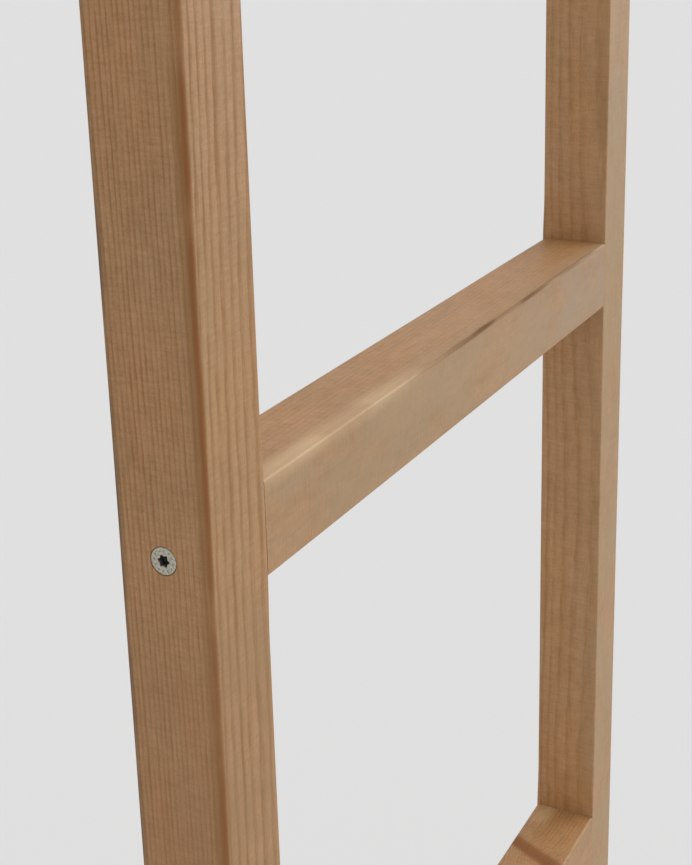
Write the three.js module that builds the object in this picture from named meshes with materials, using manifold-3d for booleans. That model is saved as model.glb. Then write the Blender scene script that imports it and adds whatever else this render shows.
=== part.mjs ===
// A wooden leaning ladder rack: two square uprights joined by four rungs of the same
// stock, each rung end held by one countersunk screw and kept from turning by one dowel.
// Millimetres. +Z runs up the ladder, +X across it, +Y towards the wall it leans on.
// The origin is on the floor, at the middle of the ladder's own box.

import * as THREE from "three";
import { mergeVertices } from "three/addons/utils/BufferGeometryUtils.js";
import Module from "manifold-3d";

const wasm = await Module();
wasm.setup();

// Timber
const STOCK_WIDTH = 45; // across the ladder, and a rung's height
const STOCK_DEPTH = 45; // from the room side to the wall side
const ARRIS_RADIUS = 3.5; // the long edges of every piece, eased
const END_CHAMFER = 2; // the cut ends of an upright
const CLEAR_WIDTH = 455; // between the uprights' inner faces

// Rungs
const RUNG_COUNT = 4;
const RUNG_PITCH = 450; // centre to centre
const LOWEST_RUNG = 225; // centre of rung 1 above the floor
const TOP_OVERHANG = 225; // from the centre of the top rung to the uprights' top ends

// Screws: 6 x 100 mm, countersunk, six-lobe recess
const SCREW_LENGTH = 100;
const HEAD_DIAMETER = 12.3;
const HEAD_RIM = 0.5; // the flat edge under the head's face
const SHANK_DIAMETER = 4.3;
const THREAD_DIAMETER = 6;
const THREAD_LENGTH = 50;
const RIDGE_PITCH = 7; // the thread is drawn as plain ridges this far apart
const TIP_LENGTH = 7;
const RECESS_DIAMETER = 5.9; // across the points of the lobes
const RECESS_DEPTH = 3;
const RECESS_LOBES = 6;
const LOBE_DEPTH = 0.75;

// Dowels, one beside each screw
const DOWEL_DIAMETER = 8;
const DOWEL_LENGTH = 40;
const DOWEL_IN_STILE = 20; // the depth of its hole in the upright
const DOWEL_DROP = 13; // below the screw
const DOWEL_CHAMFER = 1;

// Pads
const FOOT_THICKNESS = 4;
const FOOT_INSET = 3; // the foot's edge inside the upright's faces
const WALL_PAD_THICKNESS = 3;
const WALL_PAD_WIDTH = 30;
const WALL_PAD_HEIGHT = 60;
const WALL_PAD_FROM_TOP = 30; // from the upright's top end to the pad's top edge
const PAD_CORNER = 4;

// Clearances
const JOINT_GAP = 0.3; // between pieces that meet face to face
const HOLE_GAP = 0.3; // round a screw or a dowel
const BOTTOM_GAP = 1; // past the end of a screw or a dowel in its hole

// Facets
const ARRIS_STEPS = 4;
const ROUND_STEPS = 16;
const LOBE_STEPS = 4; // points on each lobe

// Derived places
const STILE_X = CLEAR_WIDTH / 2 + STOCK_WIDTH / 2;
const OUTER_X = CLEAR_WIDTH / 2 + STOCK_WIDTH;
const BACK_TOTAL = WALL_PAD_THICKNESS + JOINT_GAP;
const TIMBER_Y = -BACK_TOTAL / 2; // keeps the whole ladder's box centred on the origin
const STILE_FOOT = FOOT_THICKNESS + JOINT_GAP;
const STILE_TOP = LOWEST_RUNG + (RUNG_COUNT - 1) * RUNG_PITCH + TOP_OVERHANG;
const STILE_LENGTH = STILE_TOP - STILE_FOOT;
const DOWEL_IN_RUNG = DOWEL_LENGTH - DOWEL_IN_STILE + BOTTOM_GAP;
const HEAD_CONE = (HEAD_DIAMETER - SHANK_DIAMETER) / 2; // a 90 degree countersink
const RUNG_NUMBERS = Array.from({ length: RUNG_COUNT }, (_, i) => i + 1);
const SIDES = [
  { name: "left", sign: -1 },
  { name: "right", sign: 1 },
];

const rungHeight = (number) => LOWEST_RUNG + (number - 1) * RUNG_PITCH;

const WOOD = { color: 0xa9825c, roughness: 0.62, metalness: 0 };
const FINISHES = {
  timber: WOOD,
  dowel: { color: 0xcfae82, roughness: 0.7, metalness: 0 },
  screw: { color: 0xb4ad9c, roughness: 0.45, metalness: 0.8 },
  foot: { color: 0x26262a, roughness: 0.85, metalness: 0 },
  felt: { color: 0x8d7a66, roughness: 0.95, metalness: 0 },
};

// Solids

function solid(geometry) {
  const bare = geometry.clone();
  bare.deleteAttribute("normal");
  bare.deleteAttribute("uv");
  const merged = mergeVertices(bare, 1e-4);
  return new wasm.Manifold(
    new wasm.Mesh({
      numProp: 3,
      vertProperties: merged.attributes.position.array,
      triVerts: new Uint32Array(merged.index.array),
    }),
  );
}

function geometryOf(body) {
  const mesh = body.getMesh();
  const geometry = new THREE.BufferGeometry();
  geometry.setAttribute("position", new THREE.BufferAttribute(mesh.vertProperties, 3));
  geometry.setIndex(new THREE.BufferAttribute(mesh.triVerts, 1));
  geometry.computeVertexNormals();
  return geometry;
}

const cut = (body, cutters) => cutters.reduce((left, c) => left.subtract(solid(c)), body);

function roundedRectangle(width, height, radius) {
  const x = width / 2 - radius;
  const y = height / 2 - radius;
  const quarter = Math.PI / 2;
  const shape = new THREE.Shape();
  shape.absarc(x, y, radius, 0, quarter, false);
  shape.absarc(-x, y, radius, quarter, 2 * quarter, false);
  shape.absarc(-x, -y, radius, 2 * quarter, 3 * quarter, false);
  shape.absarc(x, -y, radius, 3 * quarter, 4 * quarter, false);
  shape.closePath();
  return shape;
}

// A closed solid of revolution whose axis is X. Profile points are [place along X, radius].
function turned(profile, steps = ROUND_STEPS) {
  const points = profile.map(([along, radius]) => new THREE.Vector2(radius, along));
  const geometry = new THREE.LatheGeometry(points, steps);
  return geometry.rotateZ(-Math.PI / 2);
}

// Timber pieces

// The stock's section swept along Z, centred on the origin, its two ends chamfered.
function stock(length, chamfer) {
  const eased = roundedRectangle(
    STOCK_WIDTH - 2 * chamfer,
    STOCK_DEPTH - 2 * chamfer,
    Math.max(ARRIS_RADIUS - chamfer, 0.5),
  );
  const geometry = new THREE.ExtrudeGeometry(eased, {
    depth: length - 2 * chamfer,
    curveSegments: ARRIS_STEPS,
    bevelEnabled: chamfer > 0,
    bevelSize: chamfer,
    bevelThickness: chamfer,
    bevelSegments: 1,
  });
  return geometry.translate(0, 0, chamfer - length / 2);
}

// The hole for a screw in an upright: clearance for the thread, and a countersink at x = 0.
function screwHole() {
  const head = HEAD_DIAMETER / 2 + HOLE_GAP;
  const bore = THREAD_DIAMETER / 2 + HOLE_GAP;
  const sink = HEAD_RIM + HOLE_GAP;
  return turned([
    [-1, 0],
    [-1, head],
    [sink, head],
    [sink + head - bore, bore],
    [STOCK_WIDTH + 1, bore],
    [STOCK_WIDTH + 1, 0],
  ]);
}

// A plain round hole of a given length from x = 0, opened a little past its mouth.
function roundHole(diameter, length) {
  const radius = diameter / 2 + HOLE_GAP;
  return turned([
    [-1, 0],
    [-1, radius],
    [length, radius],
    [length, 0],
  ]);
}

// An upright, with every rung's screw hole and dowel hole. Its outer face is at sign * X.
function stileGeometry(sign) {
  const cutters = RUNG_NUMBERS.flatMap((number) => {
    const z = rungHeight(number) - STILE_FOOT - STILE_LENGTH / 2;
    const outward = sign > 0 ? Math.PI : 0;
    const screw = screwHole().rotateZ(outward);
    const dowel = roundHole(DOWEL_DIAMETER, DOWEL_IN_STILE + BOTTOM_GAP).rotateZ(outward + Math.PI);
    return [
      screw.translate((sign * STOCK_WIDTH) / 2, 0, z),
      dowel.translate((-sign * STOCK_WIDTH) / 2, 0, z - DOWEL_DROP),
    ];
  });
  return geometryOf(cut(solid(stock(STILE_LENGTH, END_CHAMFER)), cutters));
}

// A rung along X, with a pilot hole and a dowel hole in each end.
function rungGeometry() {
  const length = CLEAR_WIDTH - 2 * JOINT_GAP;
  const bar = stock(length, 0).rotateY(Math.PI / 2);
  const pilot = SCREW_LENGTH - STOCK_WIDTH - JOINT_GAP + BOTTOM_GAP;
  const cutters = SIDES.flatMap(({ sign }) => {
    const inward = sign > 0 ? Math.PI : 0;
    const screw = roundHole(THREAD_DIAMETER, pilot).rotateZ(inward);
    const dowel = roundHole(DOWEL_DIAMETER, DOWEL_IN_RUNG).rotateZ(inward);
    return [
      screw.translate((sign * length) / 2, 0, 0),
      dowel.translate((sign * length) / 2, 0, -DOWEL_DROP),
    ];
  });
  return geometryOf(cut(solid(bar), cutters));
}

// Fixings

// The six-lobe socket, opened past the head's face at x = 0.
function recessGeometry() {
  const outer = RECESS_DIAMETER / 2;
  const count = RECESS_LOBES * LOBE_STEPS;
  const points = Array.from({ length: count }, (_, i) => {
    const angle = (2 * Math.PI * i) / count;
    const radius = outer - (LOBE_DEPTH * (1 - Math.cos(RECESS_LOBES * angle))) / 2;
    return new THREE.Vector2(radius * Math.cos(angle), radius * Math.sin(angle));
  });
  const options = { depth: RECESS_DEPTH + 1, bevelEnabled: false };
  const geometry = new THREE.ExtrudeGeometry(new THREE.Shape(points), options);
  return geometry.translate(0, 0, -1).rotateY(Math.PI / 2);
}

// A screw along +X, its head's face at x = 0. The thread is a row of ridges.
function screwGeometry() {
  const shank = SHANK_DIAMETER / 2;
  const crest = THREAD_DIAMETER / 2;
  const threadStart = SCREW_LENGTH - THREAD_LENGTH;
  const ridges = Math.floor((THREAD_LENGTH - TIP_LENGTH) / RIDGE_PITCH);
  const thread = Array.from({ length: ridges }, (_, i) => threadStart + i * RIDGE_PITCH).flatMap(
    (x) => [
      [x, shank],
      [x + RIDGE_PITCH / 2, crest],
    ],
  );
  const body = turned([
    [0, 0],
    [0, HEAD_DIAMETER / 2],
    [HEAD_RIM, HEAD_DIAMETER / 2],
    [HEAD_RIM + HEAD_CONE, shank],
    ...thread,
    [SCREW_LENGTH - TIP_LENGTH, shank],
    [SCREW_LENGTH, 0],
  ]);
  return geometryOf(cut(solid(body), [recessGeometry()]));
}

// A dowel along +X, centred, its ends chamfered.
function dowelGeometry() {
  const half = DOWEL_LENGTH / 2;
  const radius = DOWEL_DIAMETER / 2;
  return turned([
    [-half, 0],
    [-half, radius - DOWEL_CHAMFER],
    [-half + DOWEL_CHAMFER, radius],
    [half - DOWEL_CHAMFER, radius],
    [half, radius - DOWEL_CHAMFER],
    [half, 0],
  ]);
}

// Pads

function footGeometry() {
  const outline = roundedRectangle(
    STOCK_WIDTH - 2 * FOOT_INSET,
    STOCK_DEPTH - 2 * FOOT_INSET,
    PAD_CORNER,
  );
  const options = { depth: FOOT_THICKNESS, curveSegments: ARRIS_STEPS, bevelEnabled: false };
  return new THREE.ExtrudeGeometry(outline, options);
}

function wallPadGeometry() {
  const outline = roundedRectangle(WALL_PAD_WIDTH, WALL_PAD_HEIGHT, PAD_CORNER);
  const options = { depth: WALL_PAD_THICKNESS, curveSegments: ARRIS_STEPS, bevelEnabled: false };
  return new THREE.ExtrudeGeometry(outline, options).rotateX(-Math.PI / 2);
}

// Assembly

function piece(name, geometry, finish, place) {
  const mesh = new THREE.Mesh(geometry, new THREE.MeshStandardMaterial(FINISHES[finish]));
  mesh.name = name;
  mesh.position.set(...place);
  return mesh;
}

const stiles = SIDES.map(({ name, sign }) =>
  piece(`${name}_stile`, stileGeometry(sign), "timber", [
    sign * STILE_X,
    TIMBER_Y,
    STILE_FOOT + STILE_LENGTH / 2,
  ]),
);

const rungs = RUNG_NUMBERS.map((number) =>
  piece(`rung_${number}`, rungGeometry(), "timber", [0, TIMBER_Y, rungHeight(number)]),
);

const screws = RUNG_NUMBERS.flatMap((number) =>
  SIDES.map(({ name, sign }) => {
    const place = [sign * OUTER_X, TIMBER_Y, rungHeight(number)];
    const screw = piece(`screw_${number}_${name}`, screwGeometry(), "screw", place);
    screw.rotation.z = sign > 0 ? Math.PI : 0;
    return screw;
  }),
);

const dowels = RUNG_NUMBERS.flatMap((number) =>
  SIDES.map(({ name, sign }) => {
    const intoRung = DOWEL_LENGTH / 2 - DOWEL_IN_STILE;
    const x = sign * (CLEAR_WIDTH / 2 - intoRung);
    const place = [x, TIMBER_Y, rungHeight(number) - DOWEL_DROP];
    return piece(`dowel_${number}_${name}`, dowelGeometry(), "dowel", place);
  }),
);

const feet = SIDES.map(({ name, sign }) =>
  piece(`foot_pad_${name}`, footGeometry(), "foot", [sign * STILE_X, TIMBER_Y, 0]),
);

const wallPads = SIDES.map(({ name, sign }) =>
  piece(`wall_pad_${name}`, wallPadGeometry(), "felt", [
    sign * STILE_X,
    TIMBER_Y + STOCK_DEPTH / 2 + JOINT_GAP,
    STILE_TOP - WALL_PAD_FROM_TOP - WALL_PAD_HEIGHT / 2,
  ]),
);

const ladder = new THREE.Group();
ladder.add(...stiles, ...rungs, ...screws, ...dowels, ...feet, ...wallPads);

export default ladder;
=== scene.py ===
"""A wooden leaning ladder rack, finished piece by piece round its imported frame."""

import math
from collections import namedtuple

import bmesh
import bpy
from bpy.props import (
    FloatProperty,
    FloatVectorProperty,
    IntProperty,
    PointerProperty,
)
from mathutils import Matrix, Vector, noise


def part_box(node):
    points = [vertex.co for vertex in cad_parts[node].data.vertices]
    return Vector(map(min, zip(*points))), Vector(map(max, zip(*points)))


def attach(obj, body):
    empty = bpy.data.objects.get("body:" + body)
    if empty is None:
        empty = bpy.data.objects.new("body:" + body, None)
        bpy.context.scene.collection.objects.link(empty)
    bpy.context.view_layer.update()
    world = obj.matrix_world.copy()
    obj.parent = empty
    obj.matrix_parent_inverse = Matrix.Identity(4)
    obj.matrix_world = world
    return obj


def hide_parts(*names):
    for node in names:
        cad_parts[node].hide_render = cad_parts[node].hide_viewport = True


bl_info = {
    "name": "Wooden ladder rack",
    "version": (1, 0, 0),
    "blender": (4, 5, 0),
    "location": "View3D > Sidebar > Ladder",
    "description": "Timber, screws, dowels and pads of a leaning ladder rack",
    "category": "Object",
}

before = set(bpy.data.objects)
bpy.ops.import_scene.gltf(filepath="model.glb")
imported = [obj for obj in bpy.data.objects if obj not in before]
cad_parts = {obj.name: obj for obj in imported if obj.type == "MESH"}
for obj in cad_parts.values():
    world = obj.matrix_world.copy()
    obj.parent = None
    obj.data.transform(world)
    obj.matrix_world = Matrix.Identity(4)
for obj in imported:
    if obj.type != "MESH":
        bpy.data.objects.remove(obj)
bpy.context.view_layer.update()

MM = 0.001
SHARP = math.radians(34)
ROUND_STEPS = 96
SIDES = ("left", "right")
RUNGS = (1, 2, 3, 4)


def span(node):
    """The centre and the size of a CAD node."""
    low, high = (Vector(corner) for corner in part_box(node))
    return (low + high) / 2, high - low


def colour(name, description, default):
    """A colour setting, given as it looks on a screen."""
    return FloatVectorProperty(
        name=name,
        description=description,
        subtype="COLOR_GAMMA",
        size=3,
        min=0.0,
        max=1.0,
        default=default,
    )


def brightness(name, description, default):
    """A setting for how strong a light is."""
    return FloatProperty(name=name, description=description, default=default, min=0.0)


def length(name, description, default):
    """A length setting, in metres."""
    return FloatProperty(
        name=name,
        description=description,
        default=default,
        min=0.0,
        unit="LENGTH",
        subtype="DISTANCE",
        precision=5,
    )


# Settings


class LadderTimberSettings(bpy.types.PropertyGroup):
    arris_radius: length("Arris radius", "Rounding of a fully eased long edge", 3.2 * MM)
    arris_drift: FloatProperty(
        name="Arris drift",
        description="How far the hand-eased rounding varies along a piece",
        default=0.22,
        min=0.0,
        max=0.5,
        subtype="FACTOR",
    )
    run_out: length("Run-out", "Length over which an arris goes sharp at a joint", 30.0 * MM)
    waviness: length("Waviness", "How far a planed face is from flat", 0.12 * MM)
    end_chamfer: length("End chamfer", "Chamfer on the cut ends of the uprights", 2.0 * MM)
    station_spacing: length("Station spacing", "Distance between cross sections", 8.0 * MM)
    joint_gap: length("Joint gap", "Gap left where a rung meets an upright", 0.02 * MM)
    earlywood: colour("Earlywood", "Pale part of each growth ring", (0.646, 0.483, 0.317))
    latewood: colour("Latewood", "Dark line of each growth ring", (0.520, 0.336, 0.085))
    resin: colour("Resin", "Resin-rich streaks and knots", (0.500, 0.290, 0.090))


class LadderScrewSettings(bpy.types.PropertyGroup):
    sunk: length("Sunk", "Depth of the head below the wood", 0.25 * MM)
    recess_diameter: length("Recess diameter", "Across the recess's points", 5.9 * MM)
    recess_depth: length("Recess depth", "Depth of the six-lobe recess", 3.0 * MM)
    lobe_depth: length("Lobe depth", "How far each lobe bites in", 0.8 * MM)
    shank_diameter: length("Shank diameter", "Core of the screw", 4.2 * MM)
    thread_diameter: length("Thread diameter", "Crest of the thread", 6.0 * MM)
    thread_length: length("Thread length", "Threaded part of the screw", 50.0 * MM)
    thread_pitch: length("Thread pitch", "Advance of the thread in one turn", 3.6 * MM)
    nib_count: IntProperty(
        name="Nib count", description="Raised nibs round the recess", default=12, min=3
    )
    nib_circle: length("Nib circle", "Radius of the ring of nibs", 4.55 * MM)
    nib_size: length("Nib size", "Radius of one nib", 0.58 * MM)
    coating: colour("Coating", "Dull zinc-flake coating", (0.760, 0.740, 0.675))


class LadderDowelSettings(bpy.types.PropertyGroup):
    flutes: IntProperty(name="Flutes", description="Grooves round a dowel", default=16, min=4)
    flute_depth: length("Flute depth", "Depth of a groove", 0.25 * MM)
    wood: colour("Dowel wood", "Pale beech", (0.820, 0.690, 0.520))


class LadderPadSettings(bpy.types.PropertyGroup):
    corner: length("Corner", "Rounding of a pad's outline", 4.0 * MM)
    rubber: colour("Rubber", "Foot pads", (0.145, 0.145, 0.150))
    felt: colour("Felt", "Wall pads", (0.520, 0.450, 0.370))


class LadderStageSettings(bpy.types.PropertyGroup):
    camera_place: FloatVectorProperty(
        name="Camera place",
        description="Where the camera stands",
        subtype="XYZ",
        unit="LENGTH",
        size=3,
        default=(-0.7487, -0.3430, 1.3978),
    )
    camera_turn: FloatVectorProperty(
        name="Camera turn",
        description="Pitch, roll and heading of the camera",
        subtype="EULER",
        size=3,
        default=tuple(math.radians(a) for a in (73.322, 0.974, -64.361)),
    )
    lens: FloatProperty(
        name="Lens", description="Focal length in millimetres", default=64.16, min=10.0
    )
    shift: FloatVectorProperty(
        name="Shift", description="Lens shift", size=2, default=(-0.0624, -0.1254)
    )
    floor_size: length("Floor size", "Side of the square floor", 160.0)
    floor_colour: colour("Floor colour", "Pale studio floor", (0.846, 0.842, 0.838))
    sky: brightness("Room light", "Even light from all round", 0.74)
    sun: brightness("Window light", "Strength of the soft main light", 1.15)
    side: brightness("Side light", "Strength of the low light on the front faces", 1.4)
    daylight: FloatVectorProperty(
        name="Daylight",
        description="Cool tint of the side light",
        subtype="COLOR",
        size=3,
        default=(0.87, 1.02, 1.12),
    )
    softness: FloatProperty(
        name="Softness", description="Angle each light spreads over", default=60.0, min=0.0
    )


# Node helpers


def feed(tree, node, values):
    """Sets a node's inputs, each to a constant or to the socket that feeds it."""
    for key, value in values.items():
        if isinstance(value, bpy.types.NodeSocket):
            tree.links.new(value, node.inputs[key])
        else:
            node.inputs[key].default_value = value


def put(tree, kind, values=None, **settings):
    """Adds a node with its settings and the values of its inputs."""
    node = tree.nodes.new(kind)
    for key, value in settings.items():
        setattr(node, key, value)
    feed(tree, node, values or {})
    return node


def result(tree, kind, values=None, **settings):
    """Adds a node and gives its first output."""
    return put(tree, kind, values, **settings).outputs[0]


def maths(tree, operation, *values, kind="ShaderNodeMath"):
    """One sum on numbers."""
    return result(tree, kind, dict(enumerate(values)), operation=operation)


def product(tree, first, second):
    """One number times another."""
    return maths(tree, "MULTIPLY", first, second)


def total(tree, first, *others):
    """The sum of several values, added in order."""
    for other in others:
        first = maths(tree, "ADD", first, other)
    return first


def weighted(tree, *pairs):
    """The sum of values, each times its weight."""
    return total(tree, *(product(tree, value, weight) for value, weight in pairs))


def vectors(tree, operation, *values):
    """One sum on vectors."""
    return maths(tree, operation, *values, kind="ShaderNodeVectorMath")


def scaled(tree, vector, factors):
    """A vector with its numbers scaled. factors is three numbers, or one for all of them."""
    factors = factors if isinstance(factors, tuple) else (factors,) * 3
    return vectors(tree, "MULTIPLY", vector, factors)


def magnitude(tree, vector):
    """The length of a vector."""
    return put(tree, "ShaderNodeVectorMath", {0: vector}, operation="LENGTH").outputs["Value"]


def stretched(tree, vector, factor):
    """A vector times one number."""
    values = {0: vector, "Scale": factor}
    return result(tree, "ShaderNodeVectorMath", values, operation="SCALE")


def vector_of(tree, x=0.0, y=0.0, z=0.0):
    """A vector from its three numbers."""
    return result(tree, "ShaderNodeCombineXYZ", {0: x, 1: y, 2: z})


def grainy(tree, vector, detail=2.0, roughness=0.5):
    """A noise texture at its vector's own scale; returns its value, about 0.5 on average."""
    values = {"Vector": vector, "Scale": 1.0, "Detail": detail, "Roughness": roughness}
    return put(tree, "ShaderNodeTexNoise", values).outputs["Fac"]


def shaken(tree, vector, place, frequencies, detail, reach):
    """A vector shifted by noise, by up to about half of reach each way."""
    values = {"Vector": scaled(tree, place, frequencies), "Scale": 1.0, "Detail": detail}
    shift = put(tree, "ShaderNodeTexNoise", values).outputs["Color"]
    shift = scaled(tree, vectors(tree, "SUBTRACT", shift, (0.5, 0.5, 0.5)), reach)
    return vectors(tree, "ADD", vector, shift)


def ramp(tree, value, start, end, low=0.0, high=1.0):
    """A smooth step from low to high as value goes from start to end."""
    values = {0: value, 1: start, 2: end, 3: low, 4: high}
    return result(tree, "ShaderNodeMapRange", values, interpolation_type="SMOOTHSTEP")


def mixed(tree, factor, first, second, blend="MIX"):
    """A colour that goes from first to second as factor goes from 0 to 1."""
    values = {0: factor, 6: first, 7: second}
    return put(tree, "ShaderNodeMix", values, data_type="RGBA", blend_type=blend).outputs[2]


def shown(setting, factor=1.0):
    """A colour setting as the linear colour that a shader takes."""
    return (*((((c + 0.055) / 1.055) ** 2.4) * factor for c in setting), 1.0)


def socket(tree, name, kind, default=None, way="INPUT"):
    """Declares an input or an output of a node group."""
    made = tree.interface.new_socket(name=name, in_out=way, socket_type=kind)
    if default is not None:
        made.default_value = default


def sockets(tree, kind, *names):
    """Declares several inputs of one kind."""
    for name in names:
        socket(tree, name, kind)


def new_material(name):
    """A material, its node tree and its shader."""
    material = bpy.data.materials.new(name)
    material.use_nodes = True
    tree = material.node_tree
    shader = tree.nodes["Principled BSDF"]
    return material, tree, shader


def bump(tree, shader, height, distance):
    """Feeds the shader a bump whose height is in units of distance."""
    values = {"Height": height, "Distance": distance, "Strength": 1.0}
    feed(tree, shader, {"Normal": result(tree, "ShaderNodeBump", values)})


def speckle(tree, frequencies, detail, roughness=0.5):
    """Noise laid through a piece on its own coordinates."""
    place = put(tree, "ShaderNodeTexCoord").outputs["Object"]
    return grainy(tree, scaled(tree, place, frequencies), detail, roughness)


# Softwood


def knot_group():
    """One knot on a radius from the pith: how far it bends the rings, and how knotty a point is."""
    tree = bpy.data.node_groups.new("Knot", "ShaderNodeTree")
    sockets(tree, "NodeSocketVector", "Place", "Pith", "Knot")
    sockets(tree, "NodeSocketFloat", "Size", "Lean")
    for name in ("Bend", "Mask", "Rings"):
        socket(tree, name, "NodeSocketFloat", way="OUTPUT")
    given = put(tree, "NodeGroupInput").outputs
    flat = (1.0, 1.0, 0.0)
    axis = scaled(tree, vectors(tree, "SUBTRACT", given["Knot"], given["Pith"]), flat)
    axis = vectors(tree, "ADD", vectors(tree, "NORMALIZE", axis), vector_of(tree, z=given["Lean"]))
    axis = vectors(tree, "NORMALIZE", axis)
    offset = vectors(tree, "SUBTRACT", given["Place"], given["Knot"])
    along = put(tree, "ShaderNodeVectorMath", {0: offset, 1: axis}, operation="DOT_PRODUCT")
    rest = vectors(tree, "SUBTRACT", offset, stretched(tree, axis, along.outputs["Value"]))
    wobble = grainy(tree, scaled(tree, rest, 0.12), 3.0)
    distance = magnitude(tree, scaled(tree, rest, (1.0, 1.0, 0.72)))
    distance = product(tree, distance, maths(tree, "MULTIPLY_ADD", wobble, 0.7, 0.65))
    share = maths(tree, "DIVIDE", distance, given["Size"])
    near = maths(tree, "EXPONENT", product(tree, maths(tree, "POWER", share, 2.0), -0.22))
    rings = ramp(tree, maths(tree, "FRACT", product(tree, distance, 0.9)), 0.1, 0.9)
    bark = product(tree, ramp(tree, share, 0.70, 0.95), ramp(tree, share, 1.20, 1.0))
    results = {
        "Bend": product(tree, product(tree, near, given["Size"]), 1.5),
        "Mask": ramp(tree, share, 1.45, 0.60),
        "Rings": maths(tree, "MAXIMUM", product(tree, rings, 0.6), bark),
    }
    put(tree, "NodeGroupOutput", results)
    return tree


def softwood_group(knot):
    """Planed, oiled softwood as a solid. Place is in millimetres, with z along the grain."""
    tree = bpy.data.node_groups.new("Oiled softwood", "ShaderNodeTree")
    for name, kind, default in (
        ("Place", "NodeSocketVector", None),
        ("Facing", "NodeSocketVector", None),
        ("Arris", "NodeSocketFloat", 0.0),
        ("Pith", "NodeSocketVector", (20.0, 100.0, 0.0)),
        ("Ring width", "NodeSocketFloat", 2.0),
        ("Seed", "NodeSocketFloat", 0.0),
        ("Contrast", "NodeSocketFloat", 1.0),
        ("Figure", "NodeSocketFloat", 0.0),
        ("End grain", "NodeSocketFloat", 0.62),
        ("Knot A", "NodeSocketVector", (0.0, 0.0, 9999.0)),
        ("Knot A size", "NodeSocketFloat", 5.0),
        ("Knot B", "NodeSocketVector", (0.0, 0.0, 9999.0)),
        ("Knot B size", "NodeSocketFloat", 5.0),
        ("Lean", "NodeSocketFloat", 0.3),
        ("Earlywood", "NodeSocketColor", None),
        ("Latewood", "NodeSocketColor", None),
        ("Resin", "NodeSocketColor", None),
    ):
        socket(tree, name, kind, default)
    socket(tree, "Colour", "NodeSocketColor", way="OUTPUT")
    for name in ("Roughness", "Height"):
        socket(tree, name, "NodeSocketFloat", way="OUTPUT")
    given = put(tree, "NodeGroupInput").outputs
    place = given["Place"]
    loose = vectors(tree, "ADD", place, stretched(tree, (37.0, 91.0, 517.0), given["Seed"]))

    # The grain wanders as it climbs, ripples, and trembles from fibre to fibre.
    bent = shaken(tree, place, loose, (0.006, 0.006, 0.0016), 1.0, (14.0, 14.0, 0.0))
    bent = shaken(tree, bent, loose, (0.07, 0.07, 0.009), 2.0, (1.6, 1.6, 0.0))
    bent = shaken(tree, bent, loose, (0.30, 0.30, 0.06), 2.0, (0.9, 0.9, 0.0))
    across = scaled(tree, vectors(tree, "SUBTRACT", bent, given["Pith"]), (1.0, 1.0, 0.0))
    knots = []
    for label in ("Knot A", "Knot B"):
        values = {
            "Place": place,
            "Pith": given["Pith"],
            "Knot": given[label],
            "Size": given[label + " size"],
            "Lean": given["Lean"],
        }
        knots.append(put(tree, "ShaderNodeGroup", values, node_tree=knot).outputs)
    bend = maths(tree, "ADD", *(found["Bend"] for found in knots))
    knotty = maths(tree, "MAXIMUM", *(found["Mask"] for found in knots))
    knot_rings = maths(tree, "MAXIMUM", *(found["Rings"] for found in knots))
    radius = maths(tree, "ADD", magnitude(tree, across), bend)

    # Growth rings of uneven width: pale, then darker, then a sharp step back.
    slow = vector_of(tree, product(tree, radius, 0.13), given["Seed"])
    radius = maths(tree, "ADD", radius, product(tree, grainy(tree, slow), 1.4))
    count = maths(tree, "DIVIDE", radius, given["Ring width"])
    share = maths(tree, "FRACT", count)
    values = {1: maths(tree, "ADD", maths(tree, "FLOOR", count), given["Seed"])}
    year = result(tree, "ShaderNodeTexWhiteNoise", values, noise_dimensions="1D")
    late = product(tree, ramp(tree, share, 0.26, 0.78), ramp(tree, share, 1.0, 0.78))
    broken = grainy(tree, scaled(tree, loose, (0.45, 0.45, 0.045)), 3.0, 0.6)
    late = product(tree, late, ramp(tree, broken, 0.30, 0.60, 0.30, 1.0))
    late = product(tree, late, maths(tree, "MULTIPLY_ADD", year, 0.24, 0.38))
    faces = put(tree, "ShaderNodeSeparateXYZ", {0: given["Facing"]}).outputs
    frontal = product(tree, maths(tree, "ABSOLUTE", faces[1]), given["Figure"])
    late = product(tree, late, maths(tree, "ADD", frontal, given["Contrast"]))

    # Fibres, short resin ticks, slow patches and the cutter's ripple across the grain.
    fibre = grainy(tree, scaled(tree, loose, (2.4, 2.4, 0.055)), 4.0, 0.6)
    tick = ramp(tree, grainy(tree, scaled(tree, loose, (3.1, 3.1, 0.16)), 1.0), 0.70, 0.78)
    patch = grainy(tree, scaled(tree, loose, (0.050, 0.050, 0.014)), 3.0, 0.55)
    warmth = grainy(tree, scaled(tree, loose, (0.045, 0.045, 0.016)), 2.0)
    cloud = grainy(tree, scaled(tree, loose, (0.16, 0.16, 0.10)), 3.0, 0.6)
    chatter = grainy(tree, scaled(tree, loose, (0.10, 0.10, 0.62)), 2.0, 0.6)
    fine = grainy(tree, scaled(tree, loose, (0.9, 0.9, 1.1)), 2.0, 0.7)

    tone = mixed(tree, late, given["Earlywood"], given["Latewood"])
    strands = product(tree, ramp(tree, fibre, 0.45, 0.80), 0.42)
    tone = mixed(tree, strands, tone, given["Latewood"])
    tone = mixed(tree, product(tree, tick, 0.30), tone, given["Resin"])
    red = (1.03, 0.98, 0.92, 1.0)
    grey = (0.97, 1.01, 1.08, 1.0)
    cast = mixed(tree, ramp(tree, warmth, 0.30, 0.70), red, grey)
    tone = mixed(tree, 0.75, tone, cast, "MULTIPLY")
    shade = weighted(tree, (patch, 0.30), (cloud, 0.32), (chatter, 0.36), (fine, 0.42))
    shade = maths(tree, "ADD", shade, 0.30)
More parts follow.
